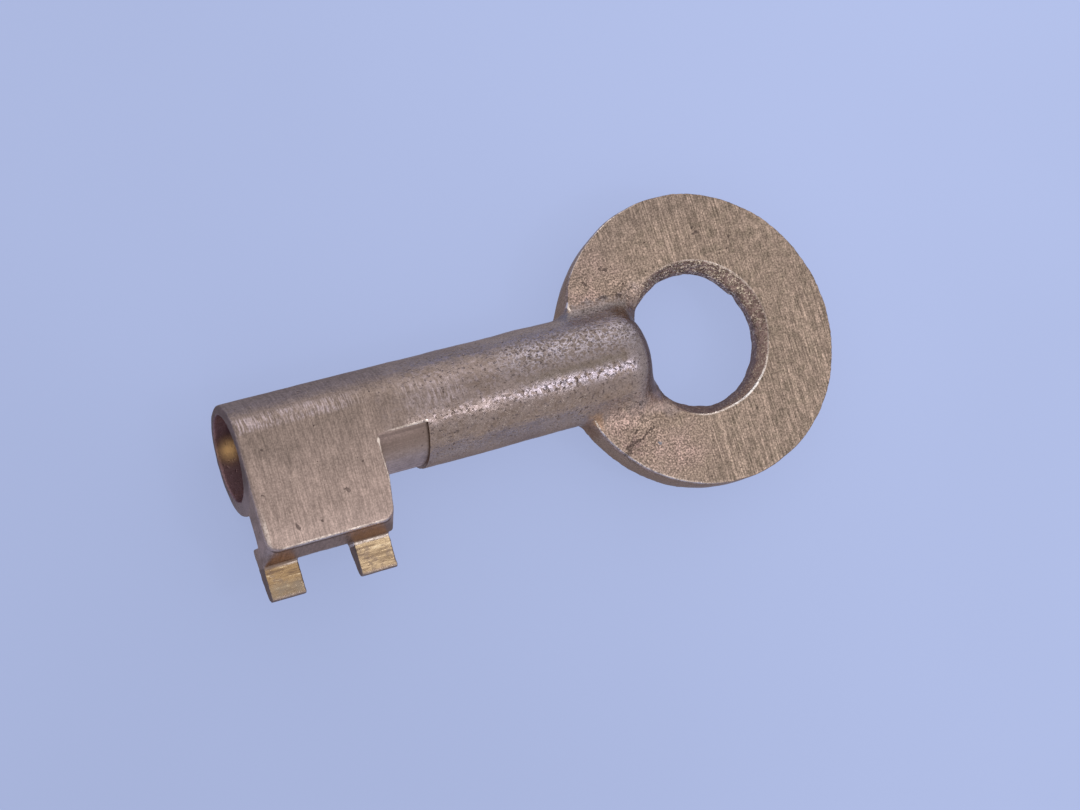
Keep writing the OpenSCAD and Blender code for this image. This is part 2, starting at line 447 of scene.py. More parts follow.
def giveSkin(piece, voxel, rounds):
    modifier = piece.modifiers.new("skin", "REMESH")
    modifier.mode = "VOXEL"
    modifier.voxel_size = voxel
    applyModifiers(piece)
    flowBow(piece)
    x, y, z = axisFrame(pointsOf(piece))
    fromEdge = np.abs(roundRing(x, y)[0] - key["holeR"])
    along = step(x, *skin["cornerFrom"]) * (1 - step(x, *skin["cornerTo"]))
    paintGroup(piece, "corner", (1 - step(fromEdge, *skin["cornerAway"])) * along)
    smooth(piece, skin["cornerRounds"], "corner")
    smooth(piece, rounds)
    applyModifiers(piece)
    bend = bendOf(piece, skin["bendPasses"]) / (voxel * voxel)
    points = pointsOf(piece)
    where = regionsOf(points, normalsOf(piece))
    x, y, z = axisFrame(points)
    ringRadius, angle = roundRing(x, y)
    insideEdge = step(key["holeR"] - ringRadius - leanOf(angle, "edgeLean"), *skin["wallBelow"])
    finished = where["ground"] + where["bowFace"] + where["bore"] + where["filed"]
    paintGroup(piece, "cast", 1 - np.clip(finished, 0, 1))
    paintGroup(piece, "wall", insideEdge * (1 - where["nose"]) * step(x, *skin["wallFrom"]))
    paintGroup(piece, "worn", step(bend, *skin["dented"]) * (1 - where["bore"]))
    for name in patterns:
        displace(piece, name)
    applyModifiers(piece)
    piece.vertex_groups.clear()
    return {"worn": step(bend, *skin["wornLayer"]), "sunk": step(-bend, *skin["sunkLayer"]), **where}


# Patches and marks on the upper faces, beside the barrel's axis, in mm
marks = {
    "upperFrom": (0.6, 1.2),  # height over which they begin
    "patina": (  # x, y, spread and strength
        (35.6, -7.4, 3.0, 1.0), (38.8, -9.6, 2.4, 0.8), (34.0, -5.8, 1.6, 1.0), (40.5, -8.2, 1.6, 0.5),
        (34.4, 6.4, 2.2, 0.9), (37.4, 6.2, 1.8, 0.9), (38.8, 5.2, 1.3, 0.8), (35.6, 8.6, 1.6, 0.5),
    ),
    "patinaGain": 1.3,
    "stain": (  # short lines: two ends and a width
        ((33.9, -7.9), (34.6, -7.55), 0.15), ((34.6, -7.55), (35.5, -7.45), 0.09),
        ((35.5, -7.45), (36.2, -6.95), 0.07), ((36.2, -6.95), (36.9, -6.7), 0.10),
        ((33.5, -8.4), (34.1, -8.2), 0.16), ((35.0, -6.9), (35.2, -6.6), 0.08),
        ((46.3, 9.2), (46.6, 9.35), 0.13), ((46.3, 9.75), (46.4, 9.9), 0.10),
        ((7.62, -5.0), (7.8, -5.1), 0.14), ((2.8, -6.7), (2.95, -7.1), 0.10),
        ((4.9, -6.9), (5.0, -7.0), 0.07), ((0.75, -3.7), (0.85, -3.75), 0.08),
        ((1.7, -0.2), (1.8, -0.2), 0.08), ((36.3, 8.1), (36.45, 8.2), 0.12),
        ((49.6, 8.2), (49.7, 8.3), 0.10), ((36.7, 7.95), (36.9, 7.9), 0.15),
        ((34.4, 7.2), (34.6, 7.0), 0.11), ((37.2, 5.5), (37.6, 5.35), 0.14),
        ((36.0, 9.9), (36.1, 9.95), 0.07), ((38.1, 6.2), (38.2, 6.3), 0.09),
        ((35.5, 5.6), (36.0, 5.5), 0.12),
    ),
    "dent": (((36.95, -8.2), (37.05, -8.2), 0.12),),
    "chip": (
        ((32.36, 5.85), (32.30, 5.5), 0.10), ((32.30, 5.4), (32.32, 5.1), 0.07),
        ((37.1, -8.15), (37.2, -8.15), 0.05), ((38.4, 12.15), (38.6, 12.2), 0.08),
    ),
    # painted light: a golden pool of light inside the bore, just behind the mouth
    "lightPoolTurn": (17, 13.5),  # degrees round the bore from straight down, and spread
    "lightPoolDepth": (1.15, 0.8),
    # painted light along the round: a mottled reflection above, a highlight along the lamp's line, and
    # painted shade between them
    "bands": {  # along the round: middle and spread in degrees, fading in and out
        "worm": ((26, 20), (21, 27), (36.0, 38.0)),
        "glare": ((-14.5, 6.5), (20, 29), (35.3, 36.4)),
        "between": ((-3, 5.5), (23, 28), (34.6, 35.6)),
    },
}
farMark = 6.0  # widths beyond which a mark isn't told from another


def nearLines(x, y, lines):
    # distance to the nearest mark, in widths of that mark
    best = np.full(len(x), farMark)
    for (ax, ay), (bx, by), width in lines:
        stretch = (bx - ax) ** 2 + (by - ay) ** 2
        along = np.clip(((x - ax) * (bx - ax) + (y - ay) * (by - ay)) / stretch, 0, 1)
        away = np.hypot(x - ax - along * (bx - ax), y - ay - along * (by - ay))
        best = np.minimum(best, away / width)
    return best


def bell(value, middle, spread):
    return ((value - middle) / spread) ** 2


def marksOf(points):
    x, y, z = axisFrame(points)
    upper = step(z, *marks["upperFrom"])
    patina = np.zeros(len(points))
    for cx, cy, spread, strongest in marks["patina"]:
        patch = strongest * np.exp(-((x - cx) ** 2 + (y - cy) ** 2) / spread ** 2) * marks["patinaGain"]
        patina = np.maximum(patina, patch)
    boreTurn = np.degrees(np.arctan2(points[:, 1], -points[:, 2]))
    layers = {
        "patina": np.clip(patina, 0, 1) * upper,
        "glow": np.exp(-bell(boreTurn, *marks["lightPoolTurn"]) - bell(x, *marks["lightPoolDepth"])),
        "edgeLean": leanOf(roundRing(x, y)[1], "edgeLean"),
    }
    for name in ("stain", "dent", "chip"):
        layers[name] = farMark - (farMark - nearLines(x, y, marks[name])) * upper
    turn = np.degrees(np.arctan2(y, z))
    for name, (spread, comes, goes) in marks["bands"].items():
        layers[name] = np.exp(-bell(turn, *spread)) * step(x, *comes) * (1 - step(x, *goes)) * upper
    return layers


def layersOf(piece, wear):
    points = pointsOf(piece)
    tree = KDTree(len(points))
    for i, point in enumerate(points):
        tree.insert(point, i)
    tree.balance()
    return tree, {**wear, **marksOf(points)}


# Where the fused skins are cut
cuts = {
    "bitBlockX": 13.5,  # the finer skin of the bit and teeth reaches to here
    "plate": ((-1.55, -13.95, 1.15), (11.55, -2.05, 5.05)),  # what the bit and teeth fill, two corners
    "teeth": ((-1.55, -14.0, -3.0), (11.55, -6.0, 5.0)),
    "barrel": (-15, 25),
    "betweenTeeth": 5.5,
    "smoothAngle": 50,
}

print("body skin")
body = copyOf(casting, "body")
bodyWear = giveSkin(body, skin["bodyVoxel"], skin["bodyRounds"])
bodyTree, bodyLayers = layersOf(body, bodyWear)

print("bit skin")
bitBlock = copyOf(casting, "bitBlock")
cutAway(bitBlock, (cuts["bitBlockX"], 0, 0), (1, 0, 0))
bitWear = giveSkin(bitBlock, skin["bitVoxel"], skin["bitRounds"])
bitTree, bitLayers = layersOf(bitBlock, bitWear)


# The milled relief is cut into the finished skin, so that its edges are crisp
relief = {
    "depth": 0.30,
    "margin": 0.04,  # mm beyond the solid's relief, past its rounded edges
    "from": 17.0,  # degrees from the top of the barrel
    "to": 131.0,
    "outside": 6.5,  # radius of the ring that cuts it
    "sides": 720,
}


def cutRelief(piece):
    low, high = key["bitLength"] - relief["margin"], key["reliefEnd"] + relief["margin"]
    sector = rod(relief["outside"], low, high, relief["sides"])
    floor = rod(key["barrelR"] - relief["depth"], low - 1, high + 1, relief["sides"])
    boolean(sector, floor, "DIFFERENCE")
    for degrees, side in ((relief["from"], 1), (relief["to"], -1)):
        turn = math.radians(degrees)
        cutAway(sector, (0, axisY, axisZ), (0, side * math.cos(turn), side * math.sin(turn)))
    boolean(piece, sector, "DIFFERENCE")


def bitCutter():
    # what the bit and teeth fill, outside the barrel's own round
    cutter = block(*cuts["plate"])
    boolean(cutter, block(*cuts["teeth"]), "UNION")
    boolean(cutter, rod(key["barrelR"], *cuts["barrel"]), "DIFFERENCE")
    return cutter


def cutOut(piece, name, *planes):
    # a copy of the piece, kept on the inner side of each plane
    part = copyOf(piece, name)
    for point, normal in planes:
        cutAway(part, point, normal)
    return part


# The parts, cut from the two skins where the solids meet
print("cutting the parts apart")
shankPlane, neckPlane = (key["shankX"], 0, 0), (key["neckX"], 0, 0)
rootPlane, gapPlane = (0, axisY - key["bitReach"], 0), (cuts["betweenTeeth"], 0, 0)
barrelPiece = cutOut(body, "barrelSkin", (shankPlane, (1, 0, 0)))
boolean(barrelPiece, bitCutter(), "DIFFERENCE")
cutRelief(barrelPiece)
shankPiece = cutOut(body, "shankSkin", (neckPlane, (1, 0, 0)), (shankPlane, (-1, 0, 0)))
bowPiece = cutOut(body, "bowSkin", (neckPlane, (-1, 0, 0)))

boolean(bitBlock, bitCutter(), "INTERSECT")
bitPiece = cutOut(bitBlock, "bitSkin", (rootPlane, (0, -1, 0)))
frontToothPiece = cutOut(bitBlock, "frontToothSkin", (rootPlane, (0, 1, 0)), (gapPlane, (1, 0, 0)))
rearToothPiece = cutOut(bitBlock, "rearToothSkin", (rootPlane, (0, 1, 0)), (gapPlane, (-1, 0, 0)))


def finishPiece(piece, tree, layers, node):
    nearest = np.array([tree.find(point)[1] for point in pointsOf(piece)])
    for name, values in layers.items():
        attribute = piece.data.attributes.new(name, "FLOAT", "POINT")
        attribute.data.foreach_set("value", values[nearest].astype(np.float32))
    piece.data.transform(Matrix.Scale(mm, 4))
    pick(piece)
    bpy.ops.object.shade_smooth_by_angle(angle=math.radians(cuts["smoothAngle"]))
    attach(piece, "root")
    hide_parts(node)
    print(piece.name, sum(len(face.vertices) - 2 for face in piece.data.polygons), "triangles")


finishPiece(barrelPiece, bodyTree, bodyLayers, "barrel")
finishPiece(shankPiece, bodyTree, bodyLayers, "shank")
finishPiece(bowPiece, bodyTree, bodyLayers, "bow")
finishPiece(bitPiece, bitTree, bitLayers, "bit")
finishPiece(frontToothPiece, bitTree, bitLayers, "front_tooth")
finishPiece(rearToothPiece, bitTree, bitLayers, "rear_tooth")
for spare in (casting, body, bitBlock):
    throwAway(spare)


# Brass
brass = {
    "cast": (0.300, 0.232, 0.210),  # aged casting skin
    "castDark": (0.225, 0.165, 0.135),
    "castPink": (0.39, 0.315, 0.325),
    "wormGap": (0.205, 0.168, 0.155),
    "worm": (0.505, 0.440, 0.482),  # partly a real lavender mottling on the shank, partly a painted reflection of the bright overhead light in a fixed band along the round
    # painted shade: dark grey on the nose's rounded end, standing in for a dark reflection
    "noseDarkReflection": (0.280, 0.235, 0.240),
    "between": (0.215, 0.170, 0.140),  # painted shade: olive brown band between the two bright lines, standing in for a dark reflection
    # painted highlight: pale pink along the line where the lamp's reflection runs
    "glare": (0.455, 0.39, 0.425),
    "flank": (0.54, 0.390, 0.280),  # browner low on the round, and painted lighter on the sides to offset their darker reflection
    "flankTop": (0.62, 0.475, 0.350),
    "ground": (0.448, 0.336, 0.288),  # ground faces
    "groundLow": (0.490, 0.370, 0.320),
    "groundTop": (0.285, 0.216, 0.182),
    "groundBand": (0.485, 0.390, 0.390),
    "relief": (0.300, 0.222, 0.198),
    "reliefLow": (0.81, 0.64, 0.56),
    "mouth": (0.240, 0.174, 0.148),
    "mouthLow": (0.44, 0.335, 0.295),
    "bow": (0.385, 0.287, 0.226),
    "bowOlive": (0.325, 0.248, 0.190),
    "bowShade": (0.285, 0.215, 0.180),
    "patina": (0.487, 0.345, 0.295),  # pinkish orange patches
    "patinaOlive": (0.385, 0.286, 0.225),
    "patinaDark": (0.23, 0.155, 0.140),
    "fillet": (0.235, 0.195, 0.190),  # painted shade: a dull dark hollow above the nose
    "corner": (0.325, 0.278, 0.265),
    "cornerPale": (0.47, 0.40, 0.37),  # deepest part, beside the hole
    "lowPink": (0.56, 0.42, 0.37),
    "wall": (0.310, 0.210, 0.185),  # wall of the hole
    "wallDark": (0.185, 0.125, 0.105),
    "wallGlint": (1.0, 0.84, 0.64),
    "rim": (0.445, 0.305, 0.205),
    # painted shade: a dark line on the bit's wall just under the face's edge
    "shadeUnderEdge": (0.16, 0.115, 0.095),
    "grazing": (0.62, 0.52, 0.45),  # how much the metal mirrors at a glancing angle
    "neck": (0.34, 0.205, 0.130),
    "filed": (0.74, 0.54, 0.33),
    "filedFront": (0.47, 0.310, 0.165),
    "filedBright": (0.90, 0.72, 0.48),
    "filedDull": (0.24, 0.155, 0.10),
    "toothSide": (0.26, 0.185, 0.150),
    "toothLow": (0.33, 0.255, 0.185),
    "bitWall": (0.37, 0.262, 0.205),
    "bore": (0.245, 0.140, 0.150),
    "boreDark": (0.115, 0.060, 0.078),
    # painted light: golden pool of light inside the bore
    "boreGlow": (1.0, 0.60, 0.26),
    # dark dirt in specks, stains and pits; also painted shade along the relief's steps
    "dirt": (0.085, 0.060, 0.055),
    "dentBlue": (0.22, 0.24, 0.28),
    # bare rubbed metal; also the colour of the painted highlight lines along edges
    "worn": (0.86, 0.73, 0.64),
    "burr": (1.0, 0.92, 0.86),  # raised lip on the hole's edge, painted near white as the highlight the lip catches
}


# How strongly a colour covers what lies under it, where it isn't wholly
strength = {
    "castPink": 0.5,
    "noseDarkReflection": 0.8,
    "wormGap": 0.55,
    "worm": 0.9,
    "between": 0.85,
    "bowShade": 0.4,
    "bitWall": 0.7,
    "patinaDark": 0.8,
    "lowPink": 0.8,
    "wallGlint": 0.95,
    "dentBlue": 0.9,
    "filedBright": 0.8,
    "shadeUnderEdge": 0.8,
    "corner": 0.8,
    "pits": 0.85,
    "specks": 0.8,
    "sunk": 0.55,
    "sparks": 0.7,
    "stain": 0.7,
    "tipBand": 0.8,
    "overRear": 0.6,
    "reliefEnd": 0.35,
    "reliefFootShadow": 0.36,
    "bandBack": 0.8,
    "wormPits": 0.55,
    "smallPits": 0.6,
    "farStreak": 0.85,
    "wear": 0.8,
}

# Grains and scratches: features per mm, with the pattern stretched, turned in degrees and shifted in mm
grains = {
    "broad": {"scale": 0.24, "detail": 3},
    "medium": {"scale": 1.3, "detail": 4, "rough": 0.65, "shift": (7, 3, 1)},
    "peel": {"scale": 2.4},
    "grain": {"scale": 6.0, "detail": 3, "rough": 0.65},
    "fine": {"scale": 13.0, "rough": 0.6, "shift": (2, 9, 4)},
    "shortScratch": {"stretch": (7.0, 0.8, 0.8), "turn": 3, "detail": 4, "rough": 0.7},
    "thinScratch": {"stretch": (12.0, 0.45, 0.45), "turn": -5, "shift": (3, 0, 0), "detail": 3,
                    "rough": 0.75},
    "longScratch": {"stretch": (6.5, 0.12, 0.12), "turn": 5, "shift": (9, 5, 0), "detail": 3, "rough": 0.75},
    "bowScratch": {"stretch": (4.6, 1.5, 1.5), "turn": 6, "shift": (2, 7, 0), "detail": 3, "rough": 0.7},
    "fileLines": {"stretch": (0.35, 3.6, 3.6), "turn": 8, "detail": 4, "rough": 0.8},
    "ridge": {"stretch": (1, 1.3, 1.3), "shift": (5, 5, 5), "scale": 1.7, "rough": 0.6},
    "pits": {"scale": 3.4, "rough": 0.6, "shift": (8, 2, 7)},
    "deepPits": {"scale": 2.3, "rough": 0.7, "shift": (3, 6, 1)},
    "streakPlace": {"scale": 0.16, "detail": 1, "shift": (4, 1, 6)},
    "speckPlace": {"scale": 0.5, "shift": (1, 8, 4)},
    "patchy": {"scale": 0.8, "shift": (6, 6, 2)},
}
speckCells = {"stretch": (1, 0.8, 1), "scale": 1.6}

# Directions across the bow's face, as shares of x and y
bowWays = {
    "wayUpLeft": (-0.5, 0.86),
    "wayLowRight": (0.6, -0.8),
    "wayBurr": (0.5, -0.866),
}

# Grains laid over each other, with their shares
blends = {
    "onGround": {"shortScratch": 0.6, "thinScratch": 0.4},
    "grainy": {"medium": 0.7, "grain": 0.3},
    "blotchy": {"medium": 0.6, "grain": 0.4},
    "spotty": {"grain": 0.7, "peel": 0.3},
    "cloudy": {"medium": 0.7, "peel": 0.3},
    "sandy": {"grain": 0.6, "fine": 0.4},
    "granules": {"grain": 0.55, "fine": 0.15, "medium": 0.3},
    "glint": {"fine": 0.3, "grain": 0.7},
    "beads": {"grain": 0.5, "peel": 0.5},
}

# Edges that wander: what they follow, the grain that moves them and how far, in mm or widths
wavy = {
    "speckShape": ("speckCells", "grain", 0.5),
    "burrRadius": ("holeRadius", "medium", 0.16),
    "hollowY": ("y", "medium", -3.0),
    "underZ": ("z", "medium", 0.3),
    "tipY": ("y", "grain", 0.4),
    "chipShape": ("fromChip", "grain", 0.36),
    "farChip": ("chip", "grain", 1.5),
    "stainAway": ("stain", "grain", 3.0),
    "dentAway": ("dent", "grain", 3.0),
}

# Where each tone or tool mark lies. A fade reads a place in mm beside the barrel's axis, a stored layer
# or a grain, and goes from 0 at its first number to 1 at its second, or between the two levels that
# follow. "near" is a band round a value, with its half width
places = {
    "pastNeck": (("x", key["neckX"], key["neckX"] + 0.6),),
    "pastNose": (("x", 38.9, 40.4), ("nose", 0.65, 0.35)),
    "holeWall": (("holeRadius", key["holeR"] + 0.01, key["holeR"] - 0.05),),
    "bowFace": (("holeRadius", key["holeR"] - 0.02, key["holeR"] + 0.04),),
    "rimBand": (("bowRadius", key["bowR"] - 0.75, key["bowR"] - 0.5), ("nose", 0.6, 0.1)),
    "relief": (("radius", 4.62, 4.56), ("radius", 4.30, 4.36), ("x", 11.45, 11.55), ("x", 15.92, 15.86),
               ("y", -1.1, -1.5)),
    "teeth": (("y", -9.15, -9.3), ("x", 12.5, 12.0)),
    "pits": (("pits", 0.60, 0.70),),
    "specks": (("speckShape", 0.15, 0.06), ("speckPlace", 0.52, 0.64)),
    "castGrain": (("medium", 0.38, 0.70, 0.0, 0.75),),
    "flank": (("broad", 0.3, 0.6, 0.5, 0.95),),
    "flankTop": (("y", 1.0, 3.2),),
    "castPink": (("y", -2.6, -1.0), ("peel", 0.50, 0.66), ("side", 0.8, 0.2)),
    "noseDarkReflection": (("x", 34.2, 36.5),),
    "worm": (("ridge", 0.085, 0.02), ("medium", 0.32, 0.5)),
    "glare": (("peel", 0.40, 0.52), ("grain", 0.30, 0.50, 0.5, 1.0)),
    "deepPits": (("deepPits", 0.58, 0.65),),
    "groundTop": (("y", -5.6, 1.2, 0.0, 0.85),),
    "groundCloud": (("broad", 0.45, 0.62, 0.0, 0.3),),
    "groundLow": (("y", -5.5, -7.8),),
    "bandFront": (("y", "near", 2.1, 0.42), ("x", 12.0, 8.0)),
    "bandBack": (("y", "near", 0.9, 0.8), ("x", "near", 17.2, 1.8)),
    "groundBand": (("z", 0.0, 1.0), ("shortScratch", 0.44, 0.62), ("medium", 0.35, 0.55, 0.4, 1.0)),
    "bowGrain": (("medium", 0.42, 0.66),),
    "bowShade": (("wayUpLeft", 5.5, 10.5), ("bowRadius", 9.8, 12.2)),
    "neck": (("x", "near", 31.5, 0.5), ("y", -3.6, -4.3), ("z", 2.6, 1.8), ("y", -6.6, -5.8),
             ("medium", 0.35, 0.6, 0.5, 1.0)),
    "reliefLow": (("y", -2.2, -4.2), ("medium", 0.3, 0.6, 0.6, 1.0)),
    "mouthLow": (("y", -1.5, -4.2, 0.0, 0.9),),
    "mouth": (("x", 0.13, 0.06), ("radius", 4.8, 4.7)),
    "bitWall": (("y", -8.3, -8.5), ("z", 4.1, 3.95), ("x", 12.5, 12.0)),
    "alongNose": (("x", 30.6, 31.6), ("x", 38.6, 37.6), ("z", 1.0, 1.4)),
    "corner": (("y", "near", 4.15, 0.5),),
    "cornerDeep": (("x", 35.8, 37.6),),
    "lowPink": (("y", "near", -4.6, 0.6), ("x", 36.2, 37.6), ("x", 40.0, 39.0), ("z", 0.6, 1.2)),
    "fillet": (("hollowY", "near", 4.9, 0.45), ("blotchy", 0.42, 0.58, 0.15, 0.9)),
    "patches": (("grainy", 0.36, 0.58, 0.25, 0.95),),
    "patinaCloud": (("broad", 0.49, 0.60, 0.0, 0.8),),
    "patinaDark": (("fromCrack", 1.5, 0.2), ("medium", 0.4, 0.56)),
    "bare": (("patina", 0.6, 0.2),),
    "brushed": (("onGround", 0.38, 0.62, 0.79, 1.23),),
    "streaks": (("streakPlace", 0.42, 0.56),),
    "streakBare": (("patina", 0.5, 0.1),),
    "streak": (("longScratch", 0.42, 0.64, 0.80, 1.32),),
    "faintStreak": (("longScratch", 0.42, 0.62, 0.95, 1.08),),
    "bowBare": (("patina", 0.7, 0.2),),
    "bowLines": (("bowScratch", 0.36, 0.64, 0.84, 1.17),),
    "bowSpots": (("spotty", 0.38, 0.62, 0.78, 1.24),),
    "mottle": (("cloudy", 0.36, 0.62, 1.07, 0.92),),
    "speckle": (("sandy", 0.34, 0.66, 0.76, 1.24),),
    "coarse": (("granules", 0.42, 0.62, 0.54, 1.72), ("pits", 0.0, 1.0, 1.0, 0.6)),
    "lowRight": (("wayLowRight", 2.5, 5.5),),
    "topBack": (("y", 7.5, 9.5), ("x", "near", 46.0, 3.0)),
    "farEnd": (("x", 49.5, 52.5), ("offAxis", 7.5, 5.0)),
    "wallGlint": (("glint", 0.51, 0.58), ("medium", 0.40, 0.54, 0.25, 1.0), ("y", -3.0, 4.0, 0.35, 1.0)),
    "wallShade": (("y", -4.0, 0.0, 0.3, 1.0), ("peel", 0.44, 0.56)),
    "wallDark": (("y", -2.0, -4.5, 0.0, 0.45),),
    "sparks": (("y", 0.5, -2.0), ("x", 15.0, 18.0), ("fine", 0.60, 0.66), ("peel", 0.48, 0.58)),
    "stain": (("stainAway", 1.35, 0.6),),
    "dentBlue": (("dentAway", 1.5, 0.8),),
    "boreCloud": (("broad", 0.4, 0.62),),
    "lightPoolGrain": (("medium", 0.66, 0.42, 0.85, 1.1),),
    "frontTooth": (("x", 6.0, 4.0),),
    "dullLines": (("fileLines", 0.47, 0.60),),
    "dullTip": (("grain", 0.3, 0.6, 0.4, 0.9),),
    "filedDull": (("x", 4.0, 6.0, 0.9, 0.7),),
    "filedBright": (("fileLines", 0.44, 0.36),),
    "toothStain": (("medium", 0.50, 0.66, 0.0, 0.6),),
    "toothLow": (("x", 6.0, 4.0), ("y", -10.4, -11.2), ("medium", 0.35, 0.6, 0.5, 0.9)),
    "toothCloud": (("medium", 0.4, 0.6),),
    "tipBand": (("tipY", -11.72, -11.92),),
    "shadeUnderEdge": (("underZ", "near", 3.78, 0.09), ("y", -8.1, -8.3), ("x", 12.5, 12.0)),
    "overRear": (("x", 7.0, 7.8), ("y", -8.4, -8.7), ("z", "near", 2.2, 0.8), ("x", 12.5, 12.0)),
    "faceEdge": (("y", "near", -key["faceReach"] - 0.02, 0.10), ("z", 3.95, 4.1), ("x", 10.9, 10.2),
                 ("x", 0.9, 1.4)),
    "rearEdge": (("alongRear", "near", key["bitLength"] - 0.09, 0.08), ("z", 3.95, 4.1), ("y", -1.4, -1.8),
                 ("y", -8.0, -7.2)),
    "rearRoot": (("y", "near", -9.36, 0.07), ("x", 7.6, 7.9), ("z", 1.5, 1.3), ("x", 11.8, 11.4)),
    "frontRoot": (("y", "near", -9.40, 0.05), ("x", 1.2, 1.5), ("x", 4.4, 4.2), ("z", 1.5, 1.3)),
    "frontEdge": (("x", "near", 0.28, 0.10), ("z", 3.95, 4.1), ("y", -4.2, -6.0)),
    "reliefTop": (("y", "near", -1.31, 0.08), ("z", 4.3, 4.4), ("x", 11.3, 11.5), ("x", 16.0, 15.8)),
    "cornerChip": (("z", 3.9, 4.0), ("x", 11.75, 11.7), ("chipShape", 0.30, 0.18)),
    "holeEdge": (("holeRadius", "near", key["holeR"] + 0.02, 0.05), ("z", 1.3, 1.4), ("x", 40.0, 42.0)),
    "upEdge": (("x", 43.5, 46.5), ("y", 2.0, 4.5)),
    "lowEdge": (("y", -3.8, -2.0, 1.0, 0.35), ("lowRight", 0.0, 1.0, 0.3, 1.0)),
    "burrBeads": (("beads", 0.40, 0.52, 0.25, 1.0),),
    "burrLine": (("burrRadius", "near", key["holeR"] + 0.01, 0.06), ("z", 1.2, 1.35), ("wayBurr", 6.1, 6.75)),
    "rimEdge": (("bowRadius", "near", key["bowR"] - 0.03, 0.04), ("z", 1.2, 1.3),
                ("x", 43.0, 39.0, 0.05, 1.0), ("nose", 0.5, 0.1)),
    "farChips": (("z", 1.15, 1.35), ("farChip", 1.4, 0.9)),
    "broken": (("grain", 0.36, 0.56, 0.15, 1.0), ("patchy", 0.36, 0.54, 0.4, 1.0)),
    "besideReliefEnd": (("x", "near", key["reliefEnd"], 0.35), ("y", -1.0, -1.5)),
    "wornLess": (("x", 40.0, 43.0, 1.0, 0.2), ("y", -9.2, -9.5, 1.0, 0.25), ("x", -0.2, 0.7, 0.3, 1.0),
                 ("y", -11.3, -11.6)),
    # painted shade: a dark line along the relief's end step
    "reliefEnd": (("x", "near", key["reliefEnd"] + 0.02, 0.03), ("y", -1.1, -1.5), ("radius", 4.85, 4.80),
                  ("radius", 4.3, 4.36)),
    # painted shadow just below the relief's top edge
    "reliefFootShadow": (("y", "near", -1.58, 0.07),),
    "castRough": (("peel", 0.35, 0.62, 0.33, 0.25),),
    "fineRough": (("fine", 0.3, 0.7, -0.06, 0.08),),
}

# Round marks and slants, in mm
spots = {
    "crack": (34.6, -7.8),  # middle of the dark stain round the crack
    "chip": (11.42, -1.85),  # where the bit's face meets the relief
    "chipNarrow": 1.8,
    "rearLean": 0.11,  # how far the bit's rear edge leans back per mm of reach
}

# How brightly each edge line is painted: partly worn bare metal, partly painted highlight where an edge
# catches the light
edgeGain = {
    "faceEdge": 1.0,
    "rearEdge": 1.0,
    "rearRoot": 1.1,
    "frontRoot": 0.8,
    "frontEdge": 0.6,
    "reliefTop": 1.3,
    "upEdge": 0.8,
}

# What makes the brass rougher or smoother
dullness = {
    "flat": 0.44,
    "patches": 0.06,
    "wall": 0.08,
    "dirty": 0.15,
    "worn": -0.12,
}

# Relief that is only shaded: the height of each grain, and how much stands out on each surface
shading = {
    "cast": {"peel": 0.4, "grain": 0.3, "pits": -0.9, "deepPits": -0.9},
    "rough": {"grain": 1.0, "medium": 1.5},
    "finished": -0.85,
    "nose": 0.6,
    "patina": 0.8,
    "onGround": 0.5,
    "filed": 0.9,
    "burr": 1.1,
    "dirt": -0.8,
    "depth": 0.035,  # mm
}


class Wire:
    # a node's output, which can be added, multiplied and taken away
    def __init__(self, graph, socket):
        self.graph = graph
        self.socket = socket

    def __add__(self, other):
        return self.graph.reckon("ADD", self, other)

    def __mul__(self, other):
        return self.graph.reckon("MULTIPLY", self, other)

    def __sub__(self, other):
        return self.graph.reckon("SUBTRACT", self, other)

    def __rsub__(self, other):
        return self.graph.reckon("SUBTRACT", other, self)

    __radd__ = __add__
    __rmul__ = __mul__


